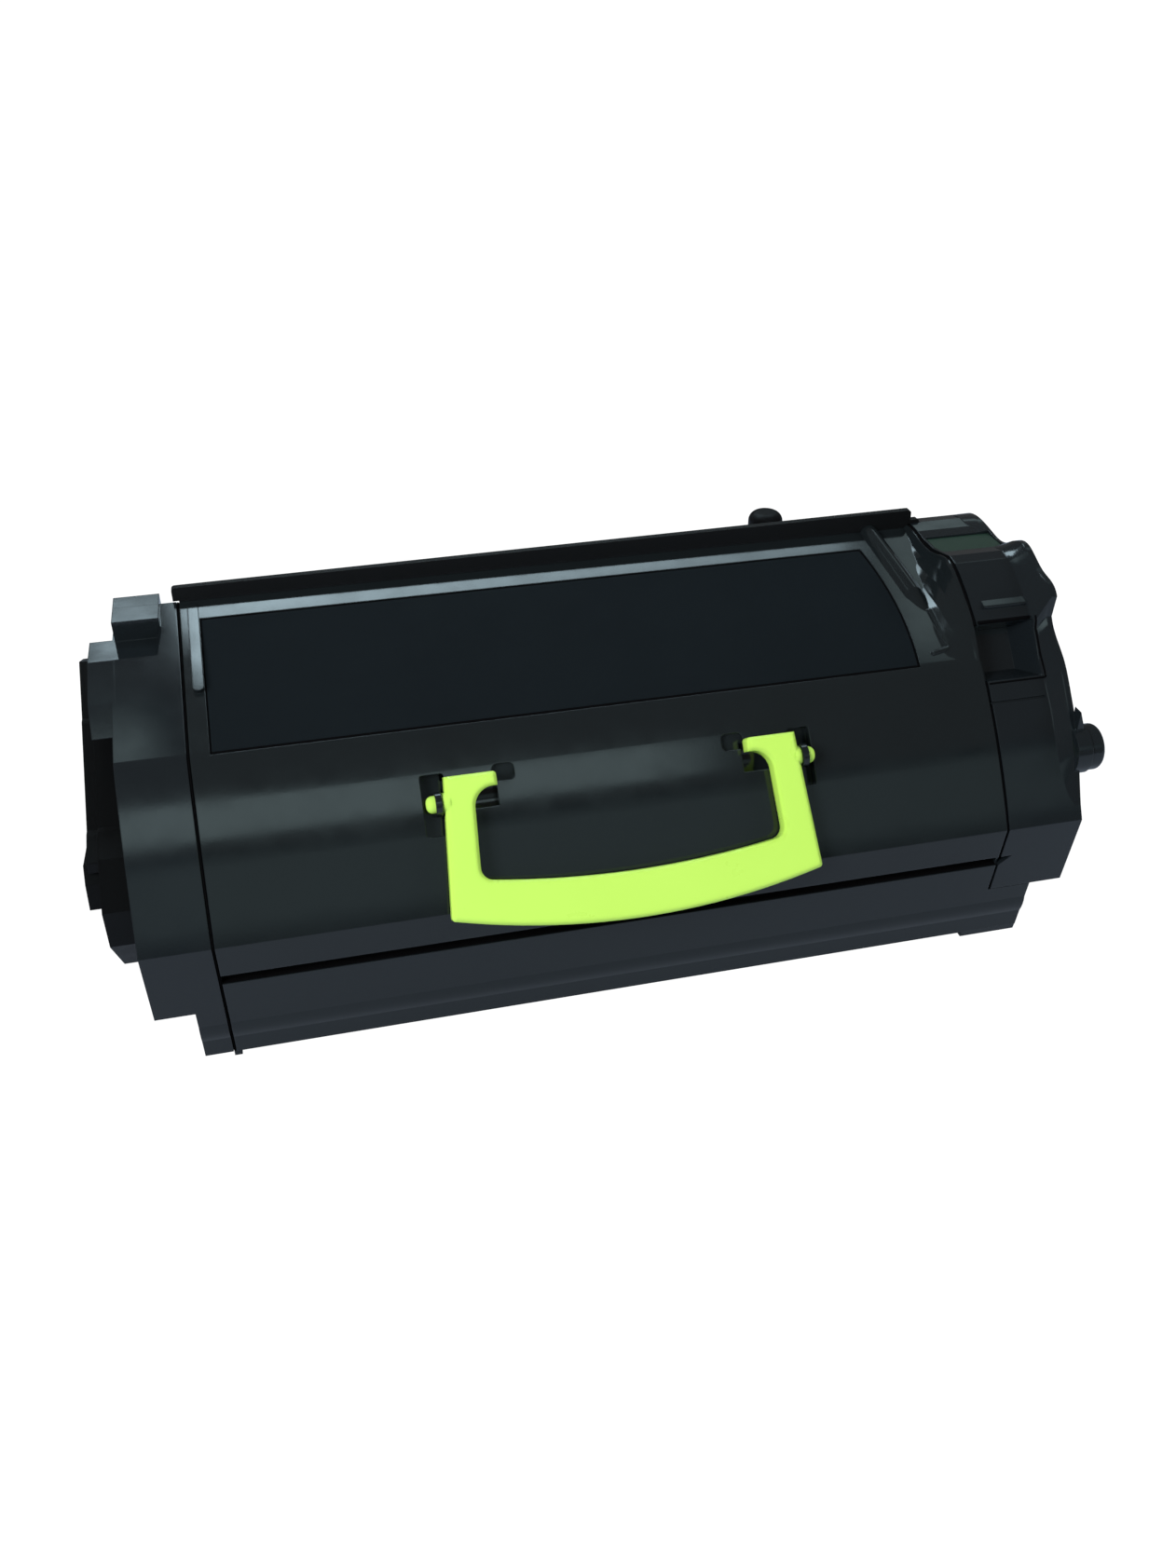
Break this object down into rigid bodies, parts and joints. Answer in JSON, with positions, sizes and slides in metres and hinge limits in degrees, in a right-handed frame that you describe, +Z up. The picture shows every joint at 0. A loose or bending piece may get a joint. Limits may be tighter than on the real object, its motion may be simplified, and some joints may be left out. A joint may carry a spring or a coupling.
{
  "type": "toner cartridge",
  "caption": "Long black toner cartridge with a rounded hopper, geared end caps, an agitator and auger inside, a sliding outlet shutter and a folding yellow-green carrying handle.",
  "frame": {"origin": "centre of the flat keel under the hopper, on the surface that the cartridge stands on", "axes": "+X along the length from the geared end to the outlet end, +Y from the handle side to the back, +Z up"},
  "size_m": [0.3362, 0.1343, 0.1264],
  "materials": {
    "housing_plastic": "moulded black plastic, satin",
    "cap_plastic": "moulded black plastic, satin",
    "gear_cover_plastic": "moulded black plastic, fine texture",
    "label_film": "plain black film, satin",
    "plug_plastic": "moulded black plastic, semi-gloss",
    "board": "dark green board with solder mask",
    "handle_plastic": "moulded yellow-green plastic, satin",
    "gear_plastic": "natural acetal",
    "stirrer_plastic": "moulded dark grey plastic",
    "shutter_plastic": "moulded dark plastic",
    "blade_film": "thin clear polyester film",
    "steel": "ground steel rod",
    "screw_steel": "zinc-plated steel",
    "felt": "pressed white felt",
    "foam": "dark sealing foam"
  },
  "bodies": {
    "housing": {"hopper_tub": "housing_plastic", "top_cover": "housing_plastic", "label": "label_film", "rear_cover": "housing_plastic", "fill_plug": "plug_plastic", "left_end_cap": "cap_plastic", "gear_cover": "gear_cover_plastic", "right_end_cap": "cap_plastic", "chip_board": "board", "upper_idler_pin": "steel", "lower_idler_pin": "steel", "agitator_bushes": "gear_plastic", "shaft_seals": "felt", "auger_bush": "gear_plastic", "exit_seal": "foam", "gear_cover_screws": "screw_steel", "left_cap_screws": "screw_steel", "right_cap_screws": "screw_steel"},
    "handle": {"handle": "handle_plastic"},
    "agitator": {"agitator_shaft": "steel", "agitator_frame": "stirrer_plastic", "agitator_blade": "blade_film", "agitator_gear": "gear_plastic", "encoder_wheel": "stirrer_plastic"},
    "coupler": {"drive_coupler": "gear_plastic"},
    "upper_idler": {"upper_idler_gear": "gear_plastic"},
    "lower_idler": {"lower_idler_gear": "gear_plastic"},
    "auger": {"auger": "stirrer_plastic", "auger_gear": "gear_plastic"},
    "shutter": {"exit_shutter": "shutter_plastic"}
  },
  "joints": [
    {"name": "handle_hinge", "type": "hinge", "parent": "housing", "child": "handle", "pos_m": [0.0012, -0.0413, 0.083], "axis": [-1, 0, 0], "range_deg": [0, 90]},
    {"name": "agitator_turn", "type": "hinge", "parent": "housing", "child": "agitator", "pos_m": [0, 0.002, 0.048], "axis": [1, 0, 0], "continuous": true},
    {"name": "coupler_turn", "type": "hinge", "parent": "housing", "child": "coupler", "pos_m": [-0.14, 0.03921, 0.06945], "axis": [1, 0, 0], "continuous": true},
    {"name": "upper_idler_turn", "type": "hinge", "parent": "housing", "child": "upper_idler", "pos_m": [-0.1355, 0.01946, 0.08085], "axis": [1, 0, 0], "continuous": true},
    {"name": "lower_idler_turn", "type": "hinge", "parent": "housing", "child": "lower_idler", "pos_m": [-0.1355, -0.02496, 0.02506], "axis": [1, 0, 0], "continuous": true},
    {"name": "auger_turn", "type": "hinge", "parent": "housing", "child": "auger", "pos_m": [0, -0.0395, 0.0155], "axis": [1, 0, 0], "continuous": true},
    {"name": "shutter_slide", "type": "slide", "parent": "housing", "child": "shutter", "axis": [0, 1, 0], "range_m": [0, 0.013]}
  ],
  "couplings": [
    {"joint": "upper_idler_turn", "follows": "agitator_turn", "ratio": -2.4444},
    {"joint": "coupler_turn", "follows": "agitator_turn", "ratio": 2.2},
    {"joint": "lower_idler_turn", "follows": "agitator_turn", "ratio": -2.9333},
    {"joint": "auger_turn", "follows": "agitator_turn", "ratio": 3.1429}
  ]
}
